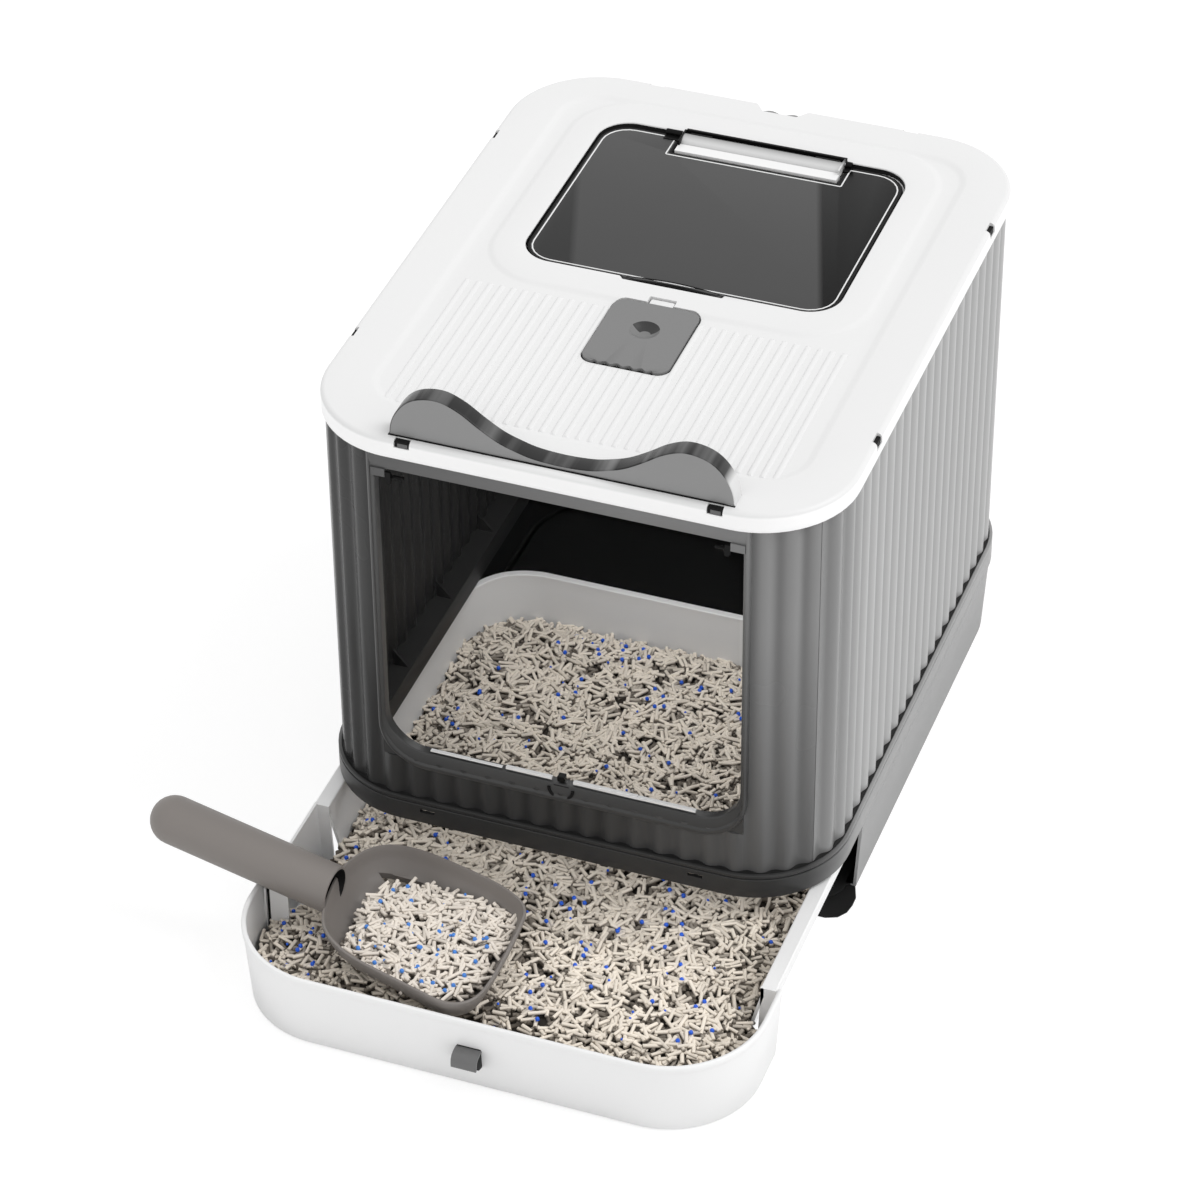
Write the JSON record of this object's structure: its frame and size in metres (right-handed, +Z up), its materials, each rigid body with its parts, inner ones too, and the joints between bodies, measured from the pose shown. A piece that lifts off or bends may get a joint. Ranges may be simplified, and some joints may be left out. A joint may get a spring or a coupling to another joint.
{
  "type": "litter box",
  "caption": "Covered cat litter box with a wavy-walled cabin, lid window, hanging entry flap, pull-out litter drawer and a scoop resting in the litter.",
  "frame": {"origin": "middle of the housing's flat underside, on the floor", "axes": "+X to the right and +Y to the back seen from the entry side, +Z up; the drawer pulls out towards -Y"},
  "size_m": [0.5, 0.7258, 0.464],
  "materials": {
    "white": "white moulded plastic, satin gloss",
    "base": "grey moulded plastic, satin gloss",
    "ring": "dark grey moulded plastic",
    "panel_dark": "dark grey wavy plastic, glossy",
    "panel_grey": "metallic grey wavy plastic",
    "crest": "mid grey moulded plastic",
    "cover": "dark grey moulded plastic",
    "clip": "mid grey moulded plastic",
    "bracket": "dark translucent plastic",
    "smoke": "smoked clear plastic",
    "clear": "clear plastic",
    "steel": "plain steel wire",
    "magnet": "nickel plated magnet",
    "carbon": "black carbon felt",
    "litter": "pale pressed pellets with a few blue beads",
    "scoop": "warm grey moulded plastic, satin"
  },
  "bodies": {
    "housing": {"base_shell": "base", "base_ring": "ring", "front_panel": "panel_dark", "left_wall": "panel_grey", "right_wall": "panel_grey", "rear_wall": "panel_grey", "lid": "white", "lid_clips": "clip", "crest": "crest", "window_bracket": "bracket", "window_pins": "steel", "deodoriser_case": "panel_grey", "deodoriser_block": "carbon", "frame_magnet": "magnet"},
    "drawer": {"drawer_front": "white", "drawer_tray": "white", "drawer_pull_tab": "clip", "litter_bed": "litter"},
    "window": {"window_flap": "smoke"},
    "entry": {"entry_flap": "clear", "entry_pins": "steel", "flap_magnet": "magnet"},
    "cover": {"deodoriser_cover": "cover"},
    "scoop": {"scoop": "scoop", "scoop_litter": "litter"}
  },
  "joints": [
    {"name": "drawer_slide", "type": "slide", "parent": "housing", "child": "drawer", "axis": [0, -1, 0], "range_m": [-0.194, 0]},
    {"name": "window_hinge", "type": "hinge", "parent": "housing", "child": "window", "pos_m": [0, 0.1957, 0.426], "axis": [-1, 0, 0], "range_deg": [0, 100]},
    {"name": "entry_hinge", "type": "hinge", "parent": "housing", "child": "entry", "pos_m": [0, -0.2545, 0.388], "axis": [1, 0, 0], "range_deg": [-80, 80]},
    {"name": "cover_lift", "type": "slide", "parent": "housing", "child": "cover", "axis": [0, 0, 1], "range_m": [0, 0.06]},
    {"name": "scoop_lift", "type": "slide", "parent": "housing", "child": "scoop", "axis": [0, 0, 1], "range_m": [0, 0.6]}
  ],
  "couplings": [
    {"joint": "scoop_lift", "follows": "drawer_slide", "ratio": -3}
  ]
}
